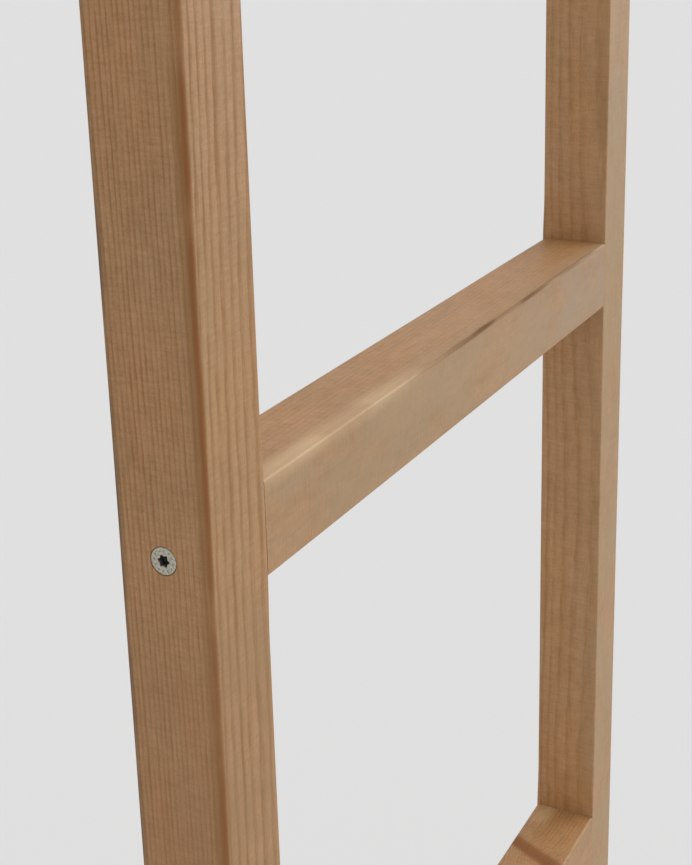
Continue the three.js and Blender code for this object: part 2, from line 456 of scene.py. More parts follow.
    # Darker wood is also richer: its blue falls off faster than its red.
    values = {0: shade, 1: maths(tree, "POWER", shade, 1.15), 2: maths(tree, "POWER", shade, 1.8)}
    depth = result(tree, "ShaderNodeCombineColor", values)
    tone = mixed(tree, 1.0, tone, depth, "MULTIPLY")
    dark = mixed(tree, 1.0, given["Resin"], (0.78, 0.68, 0.52, 1.0), "MULTIPLY")
    heart = mixed(tree, knot_rings, given["Resin"], dark)
    tone = mixed(tree, product(tree, knotty, 0.85), tone, heart)

    # The eased edges take up more oil, and end grain drinks it.
    tone = mixed(tree, product(tree, given["Arris"], 0.06), tone, given["Resin"])
    endways = ramp(tree, maths(tree, "ABSOLUTE", faces[2]), 0.55, 0.85)
    cut = product(tree, endways, given["End grain"])
    rough = maths(tree, "MULTIPLY_ADD", fibre, 0.16, 0.42)
    results = {
        "Colour": mixed(tree, cut, tone, (0.16, 0.075, 0.032, 1.0)),
        "Roughness": total(tree, rough, product(tree, endways, 0.25), product(tree, knotty, 0.25)),
        "Height": weighted(tree, (fibre, 0.03), (chatter, 0.10), (late, 0.01), (fine, 0.03)),
    }
    put(tree, "NodeGroupOutput", results)
    return tree


def softwood():
    """The wood's node group, made once."""
    found = bpy.data.node_groups.get("Oiled softwood")
    return found or softwood_group(knot_group())


def timber_material(name, settings, centre, along_x, look):
    """One piece's own cut of the solid wood. look holds what differs from piece to piece."""
    material, tree, shader = new_material(name)
    coordinates = put(tree, "ShaderNodeTexCoord")
    local = vectors(tree, "SUBTRACT", coordinates.outputs["Object"], tuple(centre))
    place = scaled(tree, local, 1 / MM)
    facing = coordinates.outputs["Normal"]
    if along_x:
        place = turned_to_grain(tree, place)
        facing = turned_to_grain(tree, facing)
    values = {
        "Place": place,
        "Facing": facing,
        "Arris": put(tree, "ShaderNodeAttribute", attribute_name="arris").outputs["Fac"],
        "Earlywood": shown(settings.earlywood, look.get("tone", 1.0)),
        "Latewood": shown(settings.latewood, look.get("tone", 1.0)),
        "Resin": shown(settings.resin),
        **look["cut"],
    }
    wood = put(tree, "ShaderNodeGroup", values, node_tree=softwood()).outputs
    tone = wood["Colour"]
    rough = wood["Roughness"]
    for streak in look.get("streaks", ()):
        tone, rough = streaked(tree, place, tone, rough, streak)
    feed(tree, shader, {"Base Color": tone, "Roughness": rough, "Specular IOR Level": 0.5})
    bump(tree, shader, wood["Height"], 1.0 * MM)
    return material


def turned_to_grain(tree, vector):
    """A rung's x, y, z as y, z, x, so that z runs along the grain."""
    parts = put(tree, "ShaderNodeSeparateXYZ", {0: vector}).outputs
    return vector_of(tree, parts[1], parts[2], parts[0])


Streak = namedtuple("Streak", "middle reach start end fade tint strength edge dull", defaults=(0.3,))


def streaked(tree, place, tone, rough, streak):
    """The tone and the roughness of a place, with a streak along the grain laid over them.

    A streak runs round its middle line from start to end, in millimetres. It fades over its outer
    edge, a share of its reach, and over its ends. Its tint is laid on by its strength, and dull is
    what it adds to the roughness.
    """
    moved = shaken(tree, place, place, (0.5, 0.5, 0.035), 3.0, (1.4, 1.4, 30.0))
    moved = shaken(tree, moved, place, (0.01, 0.01, 0.011), 1.0, (2.2, 2.2, 0.0))
    offset = vectors(tree, "SUBTRACT", moved, (*streak.middle, 0.0))
    away = magnitude(tree, scaled(tree, offset, (1.0, 1.0, 0.0)))
    inside = ramp(tree, away, streak.reach, streak.reach * (1.0 - streak.edge))
    climb = put(tree, "ShaderNodeSeparateXYZ", {0: moved}).outputs[2]
    inside = product(tree, inside, ramp(tree, climb, streak.start, streak.start + streak.fade))
    inside = product(tree, inside, ramp(tree, climb, streak.end, streak.end - streak.fade))
    mottle = grainy(tree, scaled(tree, place, (0.03, 0.03, 0.02)))
    patchy = product(tree, ramp(tree, mottle, 0.38, 0.58, 0.5, 1.1), streak.strength)
    inside = product(tree, inside, patchy)
    rough = maths(tree, "MULTIPLY_ADD", inside, streak.dull, rough)
    return mixed(tree, inside, tone, (*streak.tint, 1.0)), rough


# Timber


ARC_STEPS = 6
# Where the points lie on a flat side, as shares of the way along it.
FLAT_POINTS = (0.06, 0.35, 0.65, 0.94)
# A chamfer's steps, as (share of its length, share of its inset): a little rounded.
CHAMFER_STEPS = ((0.0, 1.0), (0.3, 0.45))
# The share of its rounding that an arris keeps where a rung meets it.
KEPT_AT_JOINT = 0.08


def outline(half_width, half_depth, radii):
    """Points round a rounded rectangle, each with its share of the way round an arris."""
    corners = ((1, 1), (-1, 1), (-1, -1), (1, -1))
    arcs = []
    for quarter, ((sx, sy), radius) in enumerate(zip(corners, radii)):
        arc = []
        for step in range(ARC_STEPS + 1):
            share = step / ARC_STEPS
            angle = (quarter + share) * math.pi / 2
            x = sx * (half_width - radius) + radius * math.cos(angle)
            y = sy * (half_depth - radius) + radius * math.sin(angle)
            arc.append((x, y, math.sin(math.pi * share)))
        arcs.append(arc)
    points = []
    for arc, following in zip(arcs, arcs[1:] + arcs[:1]):
        points += arc
        ax, ay, _ = arc[-1]
        bx, by, _ = following[0]
        points += [(ax + (bx - ax) * share, ay + (by - ay) * share, 0.0) for share in FLAT_POINTS]
    return points


def bridge(mesh, rings):
    """Joins rings of the same number of vertices, in order, and closes both ends."""
    for lower, upper in zip(rings, rings[1:]):
        for i in range(len(lower)):
            j = (i + 1) % len(lower)
            mesh.faces.new((lower[i], lower[j], upper[j], upper[i]))
    mesh.faces.new(list(reversed(rings[0])))
    mesh.faces.new(rings[-1])


def finished(name, mesh):
    """A bmesh as a shaded object in the scene, its faces pointing out."""
    bmesh.ops.recalc_face_normals(mesh, faces=mesh.faces)
    data = bpy.data.meshes.new(name)
    mesh.to_mesh(data)
    mesh.free()
    piece = bpy.data.objects.new(name, data)
    bpy.context.scene.collection.objects.link(piece)
    data.shade_smooth()
    data.set_sharp_from_angle(angle=SHARP)
    return piece


def bar(name, settings, size, seed, chamfer, easing, meetings, inner_corners):
    """A length of planed stock along Z, centred on the origin, with hand-eased arrises.

    meetings are the stretches along Z where a rung meets it. The inner corners stay sharp there.
    """
    mesh = bmesh.new()
    arris = mesh.verts.layers.float.new("arris")
    half = size.z / 2
    count = max(8, round(size.z / settings.station_spacing))
    inner = half - chamfer
    ends = CHAMFER_STEPS if chamfer else ()
    stations = [(-half + share * chamfer, cut) for share, cut in ends]
    stations += [(-inner + 2 * inner * i / count, 0.0) for i in range(count + 1)]
    stations += [(half - share * chamfer, cut) for share, cut in reversed(ends)]
    rings = []
    for z, cut in stations:
        clear = min((max(low - z, z - high) for low, high in meetings), default=1.0)
        eased = min(max(clear / settings.run_out, 0.0), 1.0)
        eased *= eased * (3 - 2 * eased)
        # Every arris drifts in its own way, and every face has its own slight hollows.
        radii = []
        for corner in range(4):
            drift = noise.noise((z * 9.0, corner * 7.3, seed * 3.1))
            radius = settings.arris_radius * easing[corner] * (1 + settings.arris_drift * drift)
            if corner in inner_corners:
                radius *= KEPT_AT_JOINT + (1 - KEPT_AT_JOINT) * eased
            radii.append(radius)
        trim = cut * chamfer
        ring = []
        for x, y, share in outline(size.x / 2 - trim, size.y / 2 - trim, radii):
            dip = noise.noise((x * 30.0 + seed, y * 30.0, z * 6.0)) - 0.6
            pull = 1 + settings.waviness * min(dip, 0.0) / (size.x / 2)
            vertex = mesh.verts.new((x * pull, y * pull, z))
            vertex[arris] = share
            ring.append(vertex)
        rings.append(ring)
    bridge(mesh, rings)
    return finished(name, mesh)


def turned(mesh, profile, segments, place, inward):
    """Adds a closed turned shape along X to a bmesh. profile is (distance inward, radius)."""
    rings = []
    for distance, radius in profile:
        ring = []
        for i in range(segments):
            angle = 2 * math.pi * i / segments
            spot = Vector((inward * distance, radius * math.cos(angle), radius * math.sin(angle)))
            ring.append(mesh.verts.new(place + spot))
        rings.append(ring)
    bridge(mesh, rings)


def applied(piece, modifier):
    """Makes a modifier's result the piece's own plain mesh, and drops the modifier."""
    depsgraph = bpy.context.evaluated_depsgraph_get()
    made = bpy.data.meshes.new_from_object(piece.evaluated_get(depsgraph))
    piece.modifiers.remove(modifier)
    rough = piece.data
    piece.data = made
    made.name = piece.name
    bpy.data.meshes.remove(rough)
    return made


def bored(piece, cutter):
    """Cuts the cutter's shape out of a piece, and drops the cutter."""
    modifier = piece.modifiers.new("Holes", "BOOLEAN")
    modifier.operation = "DIFFERENCE"
    modifier.solver = "EXACT"
    modifier.object = cutter
    made = applied(piece, modifier)
    made.shade_smooth()
    made.set_sharp_from_angle(angle=SHARP)
    bpy.data.objects.remove(cutter)


BORE_CLEARANCE = 0.3 * MM
THREAD_RADIUS = 3.0 * MM
HEAD_EDGE = 0.8 * MM
HOLE_RIM = 0.35 * MM
OVERRUN = 1.0 * MM
SCREW_HOLE_STEPS = 64
DOWEL_HOLE_STEPS = 48


def joint_holes(joints):
    """One object of the holes at some joints: screw and dowel, through an upright into a rung."""
    mesh = bmesh.new()
    for number, side in joints:
        inward = 1 if side == "left" else -1
        centre, size = span(f"screw_{number}_{side}")
        head = size.y / 2 + BORE_CLEARANCE
        bore = THREAD_RADIUS + BORE_CLEARANCE
        mouth = Vector((centre.x - inward * size.x / 2, centre.y, centre.z))
        # The rim is eased, and the head's cone leads down to the bore.
        profile = [
            (-3 * OVERRUN, head + HOLE_RIM),
            (-0.02 * MM, head + HOLE_RIM),
            (HOLE_RIM, head),
            (HEAD_EDGE, head),
            (HEAD_EDGE + head - bore, bore),
            (size.x + OVERRUN, bore),
        ]
        turned(mesh, profile, SCREW_HOLE_STEPS, mouth, inward)
        centre, size = span(f"dowel_{number}_{side}")
        radius = size.y / 2 + BORE_CLEARANCE
        start = Vector((centre.x - inward * (size.x / 2 + OVERRUN), centre.y, centre.z))
        profile = [(0, radius), (size.x + 2 * OVERRUN, radius)]
        turned(mesh, profile, DOWEL_HOLE_STEPS, start, inward)
    return finished("hole_shapes", mesh)


# How each piece differs: the easing of its four arrises, the tone and the cut of its wood, which
# are inputs of the softwood, and its streaks. Some streaks are the wood's own marks, and some are
# painted light: a painted highlight, painted sheen and painted shade.
LOOKS = {
    "left_stile": {
        "easing": (0.8, 0.8, 1.0, 0.45),
        "cut": {
            "Pith": (80.0, 185.0, 0.0),
            "Ring width": 2.25,
            "Seed": 3.0,
            "Contrast": 1.40,
            "Figure": 0.70,
            "Knot A": (-22.0, 8.0, -640.0),
            "Knot A size": 5.5,
            "Knot B": (6.0, -22.0, 700.0),
            "Knot B size": 4.0,
        },
        "streaks": (
            # Painted sheen: a greyer, less red tint over the whole front face.
            Streak(
                middle=(0.0, -22.5), reach=30.0, start=-990.0, end=990.0, fade=60.0,
                tint=(0.330, 0.195, 0.082), strength=0.25, edge=0.5, dull=0.0,
            ),
            Streak(
                middle=(-22.6, -20.6), reach=4.6, start=-860.0, end=880.0, fade=60.0,
                tint=(0.240, 0.112, 0.030), strength=0.55, edge=0.6,
            ),
            Streak(
                middle=(-21.6, -22.3), reach=2.7, start=-860.0, end=880.0, fade=60.0,
                tint=(0.225, 0.085, 0.024), strength=0.92, edge=0.85,
            ),
            # Painted shade: a dark band along the back outer arris, where the rounding turns away
            # from the light.
            Streak(
                middle=(-23.0, 23.0), reach=5.6, start=-880.0, end=880.0, fade=60.0,
                tint=(0.100, 0.055, 0.028), strength=0.75, edge=0.8,
            ),
            # Painted shade: the front face darker and warmer over a stretch near its middle, as the
            # light falls off towards the floor.
            Streak(
                middle=(0.0, -22.5), reach=26.0, start=-420.0, end=235.0, fade=90.0,
                tint=(0.258, 0.154, 0.074), strength=0.45, edge=0.5,
            ),
            # Painted shade: the outer side darker and warmer over the same stretch.
            Streak(
                middle=(-22.5, 0.0), reach=26.0, start=-420.0, end=235.0, fade=90.0,
                tint=(0.310, 0.128, 0.038), strength=0.25, edge=0.5, dull=0.0,
            ),
        ),
    },
    "right_stile": {
        "easing": (0.8, 0.8, 0.45, 1.0),
        "tone": 1.07,
        "cut": {
            "Pith": (-150.0, -34.0, 0.0),
            "Ring width": 2.3,
            "Seed": 11.0,
            "Contrast": 0.95,
            "Knot A": (22.0, -4.0, -300.0),
            "Knot A size": 6.0,
            "Knot B": (22.0, 6.0, -720.0),
            "Knot B size": 3.5,
        },
        "streaks": (
            # Painted sheen: a greyer, less red tint over the whole front face.
            Streak(
                middle=(0.0, -22.5), reach=30.0, start=-990.0, end=990.0, fade=60.0,
                tint=(0.315, 0.228, 0.122), strength=0.45, edge=0.5, dull=0.0,
            ),
        ),
    },
    "rung_1": {
        "easing": (0.7, 1.0, 0.4, 0.6),
        "tone": 0.94,
        "cut": {"Pith": (70.0, -30.0, 0.0), "Ring width": 2.4, "Seed": 5.0, "End grain": 0.1},
    },
    "rung_2": {
        "easing": (0.6, 0.6, 0.4, 0.6),
        "cut": {
            "Pith": (110.0, 17.0, 0.0),
            "Ring width": 3.0,
            "Seed": 7.0,
            "Contrast": 0.7,
            "End grain": 0.1,
            "Lean": -0.5,
            "Knot A": (0.0, 19.0, 166.5),
            "Knot A size": 5.6,
        },
        "streaks": (
            Streak(
                middle=(14.0, 22.5), reach=12.0, start=200.0, end=260.0, fade=14.0,
                tint=(0.56, 0.38, 0.20), strength=0.60, edge=0.8,
            ),
        ),
    },
    "rung_3": {
        "easing": (0.7, 0.42, 0.4, 0.6),
        "cut": {
            "Pith": (125.0, -8.0, 0.0),
            "Ring width": 3.1,
            "Seed": 9.0,
            "Contrast": 0.6,
            "End grain": 0.1,
        },
        "streaks": (
            # Painted sheen: a greyer, less red tint over the whole front face.
            Streak(
                middle=(-22.5, 0.0), reach=30.0, start=-300.0, end=300.0, fade=60.0,
                tint=(0.318, 0.224, 0.126), strength=0.45, edge=0.5, dull=0.0,
            ),
            Streak(
                middle=(-22.0, 22.2), reach=2.3, start=-95.0, end=228.0, fade=40.0,
                tint=(0.185, 0.090, 0.028), strength=0.70, edge=0.85,
            ),
            Streak(
                middle=(-22.2, 22.1), reach=2.0, start=-35.0, end=130.0, fade=60.0,
                tint=(0.125, 0.055, 0.012), strength=0.80, edge=0.85,
            ),
            # Painted highlight: a pale, glossier band on the top face along the front arris, near
            # the left end.
            Streak(
                middle=(-18.5, 23.0), reach=10.0, start=-320.0, end=-20.0, fade=130.0,
                tint=(0.60, 0.41, 0.215), strength=0.60, edge=0.95, dull=-0.1,
            ),
            Streak(
                middle=(-22.5, 0.0), reach=30.0, start=110.0, end=300.0, fade=60.0,
                tint=(0.330, 0.240, 0.180), strength=0.40, edge=0.8,
            ),
        ),
    },
    "rung_4": {
        "easing": (0.7, 1.0, 0.4, 0.6),
        "tone": 1.05,
        "cut": {"Pith": (-44.0, 52.0, 0.0), "Ring width": 2.0, "Seed": 13.0, "End grain": 0.1},
    },
}
# Turns Z to X, X to Y and Y to Z.
ALONG_X = Matrix(((0, 0, 1, 0), (1, 0, 0, 0), (0, 1, 0, 0), (0, 0, 0, 1)))


def make_timber(node, joints, along_x=False, chamfer=0.0, extra=0.0):
    """One upright or rung: planed stock, bored at its joints, in its own cut of the wood.

    extra is how much longer it is than its CAD node at each end.
    """
    settings = bpy.context.scene.ladder_timber
    centre, size = span(node)
    look = LOOKS[node]
    stock = Vector((size.y, size.z, size.x + 2 * extra)) if along_x else size
    meetings = []
    inner_corners = ()
    if not along_x:
        for number, _ in joints:
            low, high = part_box(f"rung_{number}")
            meetings.append((low[2] - centre.z, high[2] - centre.z))
        inner_corners = (0, 3) if centre.x < 0 else (1, 2)
    name = f"{node}_timber"
    seed = look["cut"]["Seed"]
    piece = bar(name, settings, stock, seed, chamfer, look["easing"], meetings, inner_corners)
    place = Matrix.Translation(centre)
    piece.data.transform(place @ ALONG_X if along_x else place)
    bored(piece, joint_holes(joints))
    material = timber_material(node + "_softwood", settings, centre, along_x, look)
    piece.data.materials.clear()
    piece.data.materials.append(material)
    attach(piece, "root")
    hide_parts(node)


class OBJECT_OT_ladder_uprights(bpy.types.Operator):
    """Makes the two uprights from planed softwood"""

    bl_idname = "object.ladder_uprights"
    bl_label = "Uprights"

    def execute(self, context):
        chamfer = context.scene.ladder_timber.end_chamfer
        for side in SIDES:
            joints = [(number, side) for number in RUNGS]
            make_timber(f"{side}_stile", joints, chamfer=chamfer)
        return {"FINISHED"}


class OBJECT_OT_ladder_rungs(bpy.types.Operator):
    """Makes the four rungs from the same stock"""

    bl_idname = "object.ladder_rungs"
    bl_label = "Rungs"

    def execute(self, context):
        settings = context.scene.ladder_timber
        centre, size = span("left_stile")
        face = centre.x + size.x / 2
        centre, size = span("rung_1")
        extra = (centre.x - size.x / 2) - face - settings.joint_gap
        for number in RUNGS:
            joints = [(number, side) for side in SIDES]
            make_timber(f"rung_{number}", joints, along_x=True, extra=extra)
        return {"FINISHED"}


# Screws and dowels


SCREW_DRAW = 4
DOWEL_DRAW = 9
HEAD_RIM = 0.5 * MM
# The point tapers over the last of the shank, and the thread stops short of it.
POINT_LENGTH = 7.0 * MM
BARE_TIP = 7.5 * MM
NIB_LIFT = 0.02 * MM
# How far the nibs are darkened: painted shade.
NIB_PAINTED_SHADE = 0.45
# How a dowel narrows towards its ends, as (distance from the end, share of its radius).
DOWEL_ENDS = ((0.0, 0.80), (0.4 * MM, 0.90), (1.2 * MM, 1.0))


def end_tree(tree, geometry, material):
    """Ends a geometry tree: its instances made real, and the material set."""
    real = result(tree, "GeometryNodeRealizeInstances", {0: geometry})
    values = {"Geometry": real, "Material": material}
    put(tree, "NodeGroupOutput", {0: result(tree, "GeometryNodeSetMaterial", values)})


def joint_set_tree():
    """Geometry nodes: sets one fixing at every joint, turned a random way round its own axis."""
    tree = bpy.data.node_groups.new("Fixings at the joints", "GeometryNodeTree")
    sockets(tree, "NodeSocketGeometry", "Geometry")
    sockets(tree, "NodeSocketFloat", "Lowest", "Pitch", "From the middle", "Depth")
    sockets(tree, "NodeSocketInt", "Count", "Seed")
    sockets(tree, "NodeSocketMaterial", "Material")
    socket(tree, "Geometry", "NodeSocketGeometry", way="OUTPUT")
    given = put(tree, "NodeGroupInput").outputs
    join = put(tree, "GeometryNodeJoinGeometry")
    for first_draw, sign, heading in ((0.0, -1.0, 0.0), (100.0, 1.0, math.pi)):
        x = product(tree, given["From the middle"], sign)
        values = {
            "Count": given["Count"],
            "Start Location": vector_of(tree, x, given["Depth"], given["Lowest"]),
            "Offset": vector_of(tree, z=given["Pitch"]),
        }
        line = result(tree, "GeometryNodeMeshLine", values, mode="OFFSET", count_mode="TOTAL")
        draw = maths(tree, "ADD", result(tree, "GeometryNodeInputIndex"), first_draw)
        values = {2: 0.0, 3: 2 * math.pi, 7: draw, 8: given["Seed"]}
        angle = put(tree, "FunctionNodeRandomValue", values, data_type="FLOAT").outputs[1]
        turn = vector_of(tree, angle, z=heading)
        turn = result(tree, "FunctionNodeEulerToRotation", {0: turn})
        values = {"Points": line, "Instance": given["Geometry"], "Rotation": turn}
        tree.links.new(result(tree, "GeometryNodeInstanceOnPoints", values), join.inputs[0])
    end_tree(tree, join.outputs[0], given["Material"])
    return tree


def screw_trim_tree():
    """Geometry nodes: winds the thread round a screw and sets the ring of nibs on its head."""
    tree = bpy.data.node_groups.new("Thread and nibs", "GeometryNodeTree")
    sockets(tree, "NodeSocketGeometry", "Geometry")
    sockets(tree, "NodeSocketFloat", "Core radius", "Crest radius", "Thread start", "Thread length")
    sockets(tree, "NodeSocketFloat", "Thread pitch", "Nib circle", "Nib size", "Face")
    sockets(tree, "NodeSocketInt", "Nib count")
    sockets(tree, "NodeSocketMaterial", "Material")
    socket(tree, "Geometry", "NodeSocketGeometry", way="OUTPUT")
    given = put(tree, "NodeGroupInput").outputs
    to_x = result(tree, "FunctionNodeEulerToRotation", {0: (0.0, math.pi / 2, 0.0)})

    def placed(geometry, x):
        """Geometry turned from Z to X and moved along X."""
        values = {"Geometry": geometry, "Translation": vector_of(tree, x), "Rotation": to_x}
        return result(tree, "GeometryNodeTransform", values)

    values = {
        "Resolution": 24,
        "Rotations": maths(tree, "DIVIDE", given["Thread length"], given["Thread pitch"]),
        "Start Radius": given["Core radius"],
        "End Radius": given["Core radius"],
        "Height": given["Thread length"],
    }
    spiral = result(tree, "GeometryNodeCurveSpiral", values)
    flank = maths(tree, "SUBTRACT", given["Crest radius"], given["Core radius"])
    values = {"Resolution": 3, "Radius": flank}
    ridge = result(tree, "GeometryNodeCurvePrimitiveCircle", values, mode="RADIUS")
    values = {"Curve": spiral, "Profile Curve": ridge, "Fill Caps": True}
    thread = placed(result(tree, "GeometryNodeCurveToMesh", values), given["Thread start"])

    values = {"Vertices": given["Nib count"], "Radius": given["Nib circle"]}
    circle = result(tree, "GeometryNodeMeshCircle", values, fill_type="NONE")
    values = {"Radius": given["Nib size"], "Subdivisions": 2}
    values = {
        "Geometry": result(tree, "GeometryNodeMeshIcoSphere", values),
        "Scale": (1.0, 0.62, 0.42),
    }
    values = {"Points": circle, "Instance": result(tree, "GeometryNodeTransform", values)}
    nibs = placed(result(tree, "GeometryNodeInstanceOnPoints", values), given["Face"])
    # The nibs carry painted shade, kept in an attribute for the coating.
    values = {"Geometry": nibs, "Name": "painted_shade", "Value": NIB_PAINTED_SHADE}
    nibs = result(tree, "GeometryNodeStoreNamedAttribute", values, data_type="FLOAT")

    join = put(tree, "GeometryNodeJoinGeometry")
    for part in (nibs, thread, given["Geometry"]):
        tree.links.new(part, join.inputs[0])
    end_tree(tree, join.outputs[0], given["Material"])
    return tree


def grown(piece, tree, values):
    """Runs a geometry tree on a piece and keeps the result as its plain mesh."""
    modifier = piece.modifiers.new("Build", "NODES")
    modifier.node_group = tree
    named = {item.name: item for item in tree.interface.items_tree if item.in_out == "INPUT"}
    for name, value in values.items():
        modifier[named[name].identifier] = value
    applied(piece, modifier).set_sharp_from_angle(angle=SHARP)


def ring_of(mesh, x, radius_at):
    """A ring of vertices round X, its radius a function of the angle."""
    ring = []
    for i in range(ROUND_STEPS):
        angle = 2 * math.pi * i / ROUND_STEPS
        radius = radius_at(angle)
        ring.append(mesh.verts.new((x, radius * math.cos(angle), radius * math.sin(angle))))
    return ring


def screw_body(settings, size):
    """One screw along X with its face at zero: six-lobe recess, countersunk head, shank, tip."""
    mesh = bmesh.new()
    painted_shade = mesh.verts.layers.float.new("painted_shade")
    head = size.y / 2
    core = settings.shank_diameter / 2
    recess = settings.recess_diameter / 2
    deep = settings.recess_depth
    seat = HEAD_RIM + (head - core)

    def lobed(scale, grow=0.0):
        def radius_at(angle):
            bite = settings.lobe_depth * (1 - math.cos(6 * angle)) / 2
            return (recess - bite) * scale + grow

        return radius_at

    def round_to(radius):
        return lambda angle: radius

    # From the bottom of the recess, out over the face and the head's edge, down to the tip.
    profile = (
        (deep + 0.9 * MM, round_to(0.15 * MM)),
        (deep, lobed(0.72)),
        (deep - 0.1 * MM, lobed(0.90)),
        (0.35 * MM, lobed(0.97)),
        (0.08 * MM, lobed(1.0, 0.02 * MM)),
        (0.0, lobed(1.0, 0.14 * MM)),
        (-0.04 * MM, round_to(head * 0.66)),
        (0.0, round_to(head - 0.35 * MM)),
        (0.06 * MM, round_to(head - 0.12 * MM)),
        (0.20 * MM, round_to(head)),
        (HEAD_RIM, round_to(head)),
        (seat - 0.4 * MM, round_to(core + 0.45 * MM)),
        (seat + 0.6 * MM, round_to(core)),
        (size.x - POINT_LENGTH, round_to(core)),
        (size.x - 2.5 * MM, round_to(core * 0.45)),
        (size.x, round_to(0.05 * MM)),
    )
    rings = [ring_of(mesh, x, radius_at) for x, radius_at in profile]
    # Painted shade: the colour darkens towards the bottom of the recess.
    for ring, share in zip(rings, (1.0, 1.0, 0.95, 0.75, 0.35, 0.0)):
        for vertex in ring:
            vertex[painted_shade] = share
    bridge(mesh, rings)
    return finished("screws", mesh)


def coating_material(settings):
    """Dull grey zinc flake: mottled and a little scuffed, with painted shade deep in the recess and
    on the nibs.
    """
    material, tree, shader = new_material("zinc_flake_coating")
    blotch = speckle(tree, 900.0, 4.0, 0.7)
    grit = speckle(tree, 4200.0, 2.0, 0.6)
    dull = shown(settings.coating, 0.62)
    tone = mixed(tree, ramp(tree, blotch, 0.38, 0.66), dull, shown(settings.coating, 1.1))
    tone = mixed(tree, ramp(tree, grit, 0.62, 0.72, 0.0, 0.4), tone, shown(settings.coating, 0.35))
    # Painted shade: near black deep in the recess, and partly darkened on the nibs.
    painted_shade = put(tree, "ShaderNodeAttribute", attribute_name="painted_shade").outputs["Fac"]
    values = {
        "Base Color": mixed(tree, painted_shade, tone, (0.012, 0.013, 0.012, 1.0)),
        "Roughness": ramp(tree, blotch, 0.3, 0.7, 0.42, 0.62),
        "Metallic": 0.35,
    }
    feed(tree, shader, values)
    bump(tree, shader, maths(tree, "MULTIPLY_ADD", grit, 0.4, blotch), 0.06 * MM)
    return material


def beech_material(settings):
    """Pale compressed beech with short flecks along each dowel."""
    material, tree, shader = new_material("beech")
    fleck = speckle(tree, (90.0, 1500.0, 1500.0), 3.0, 0.6)
    slow = speckle(tree, (20.0, 200.0, 200.0), 2.0)
    flecked = shown(settings.wood, 0.62)
    tone = mixed(tree, ramp(tree, fleck, 0.45, 0.75), shown(settings.wood), flecked)
    tone = mixed(tree, ramp(tree, slow, 0.3, 0.7, 0.0, 0.3), tone, shown(settings.wood, 0.8))
    rough = ramp(tree, fleck, 0.3, 0.8, 0.55, 0.75)
    feed(tree, shader, {"Base Color": tone, "Roughness": rough})
    bump(tree, shader, fleck, 0.08 * MM)
    return material


def set_at_joints(piece, kind, material, seed, sunk):
    """Sets a fixing at every joint, where its CAD nodes are, and hands it to the frame."""
    low, size = span(f"{kind}_1_left")
    high, _ = span(f"{kind}_{RUNGS[-1]}_left")
    outer = low.x - size.x / 2
    tree = bpy.data.node_groups.get("Fixings at the joints") or joint_set_tree()
    values = {
        "Lowest": low.z,
        "Pitch": (high.z - low.z) / (len(RUNGS) - 1),
        "Count": len(RUNGS),
        "From the middle": -outer - sunk,
        "Depth": low.y,
        "Seed": seed,
        "Material": material,
    }
    grown(piece, tree, values)
    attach(piece, "root")
    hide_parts(*(f"{kind}_{number}_{side}" for number in RUNGS for side in SIDES))


class OBJECT_OT_ladder_screws(bpy.types.Operator):
    """Makes the eight countersunk screws, one at each rung's end"""

    bl_idname = "object.ladder_screws"
    bl_label = "Screws"

    def execute(self, context):
        settings = context.scene.ladder_screws
        _, size = span("screw_1_left")
        size = size - Vector((settings.sunk, 0, 0))
        coating = coating_material(settings)
        piece = screw_body(settings, size)
        values = {
            "Core radius": settings.shank_diameter / 2,
            "Crest radius": settings.thread_diameter / 2,
            "Thread start": size.x - settings.thread_length,
            "Thread length": settings.thread_length - BARE_TIP,
            "Thread pitch": settings.thread_pitch,
            "Nib count": settings.nib_count,
            "Nib circle": settings.nib_circle,
            "Nib size": settings.nib_size,
            "Face": NIB_LIFT,
            "Material": coating,
        }
        grown(piece, screw_trim_tree(), values)
        set_at_joints(piece, "screw", coating, SCREW_DRAW, settings.sunk)
        return {"FINISHED"}


class OBJECT_OT_ladder_dowels(bpy.types.Operator):
    """Makes the eight fluted dowels inside the joints"""

    bl_idname = "object.ladder_dowels"
    bl_label = "Dowels"

    def execute(self, context):
        settings = context.scene.ladder_dowels
        _, size = span("dowel_1_left")
        mesh = bmesh.new()
        radius = size.y / 2

        def fluted(scale):
            def radius_at(angle):
                groove = abs(math.sin(settings.flutes * angle / 2)) ** 0.5
                return radius * scale - settings.flute_depth * (1 - groove)

            return radius_at

        rings = [ring_of(mesh, x, fluted(scale)) for x, scale in DOWEL_ENDS]
        rings += [ring_of(mesh, size.x - x, fluted(scale)) for x, scale in reversed(DOWEL_ENDS)]
        bridge(mesh, rings)
        beech = beech_material(settings)
        piece = finished("dowels", mesh)
        set_at_joints(piece, "dowel", beech, DOWEL_DRAW, 0.0)
        return {"FINISHED"}


# Pads


LEAST_CORNER = 0.3 * MM


def slab(name, half_x, half_y, corner, layers):
    """A rounded rectangle stacked along Z. layers are (height, inset) from bottom to top."""
    mesh = bmesh.new()
    rings = []
    for height, inset in layers:
        radius = max(corner - inset, LEAST_CORNER)
        points = outline(half_x - inset, half_y - inset, [radius] * 4)
        rings.append([mesh.verts.new((x, y, height)) for x, y, _ in points])
    bridge(mesh, rings)
    return finished(name, mesh)


def rounded_layers(thickness, edge, steps=4):
    """Heights and insets of a slab whose top and bottom edges are rounded."""
    quarter = [math.pi / 2 * i / steps for i in range(steps + 1)]
    lower = [(edge * (1 - math.cos(a)), edge * (1 - math.sin(a))) for a in quarter]
    upper = [(thickness - height, inset) for height, inset in reversed(lower)]
    return lower + upper


